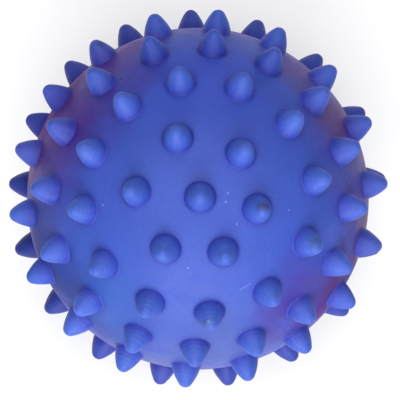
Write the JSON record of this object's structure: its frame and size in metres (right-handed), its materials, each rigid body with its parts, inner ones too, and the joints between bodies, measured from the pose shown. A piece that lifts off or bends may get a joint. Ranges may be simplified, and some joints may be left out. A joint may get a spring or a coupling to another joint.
{
  "type": "sensory ball",
  "caption": "Hollow soft vinyl sensory ball with rings of rounded spikes all over its skin and a pull-out air plug, for squeezing, rolling and gripping.",
  "frame": {"origin": "centre of the ball's spherical skin", "axes": "+Z out through the crown spike, -Z towards the four spikes it stands on; the valve is at the back left, towards -X, +Y and a little down"},
  "size_m": [0.0989, 0.0986, 0.0986],
  "materials": {
    "skin_vinyl": "satin, milky translucent",
    "spike_vinyl": "satin",
    "seat_vinyl": "matt",
    "plug_vinyl": "satin"
  },
  "bodies": {
    "ball": {"skin": "skin_vinyl", "crown_spike": "spike_vinyl", "spike_ring_1": "spike_vinyl", "spike_ring_2": "spike_vinyl", "spike_ring_3": "spike_vinyl", "spike_ring_4": "spike_vinyl", "spike_ring_5": "spike_vinyl", "spike_ring_6": "spike_vinyl", "spike_ring_7": "spike_vinyl", "spike_ring_8": "spike_vinyl", "spike_ring_9": "spike_vinyl", "valve_seat": "seat_vinyl"},
    "plug": {"valve_plug": "plug_vinyl"}
  },
  "joints": [
    {"name": "plug_pull", "type": "slide", "parent": "ball", "child": "plug", "axis": [-0.6382, 0.6382, -0.4305], "range_m": [0, 0.022]}
  ]
}
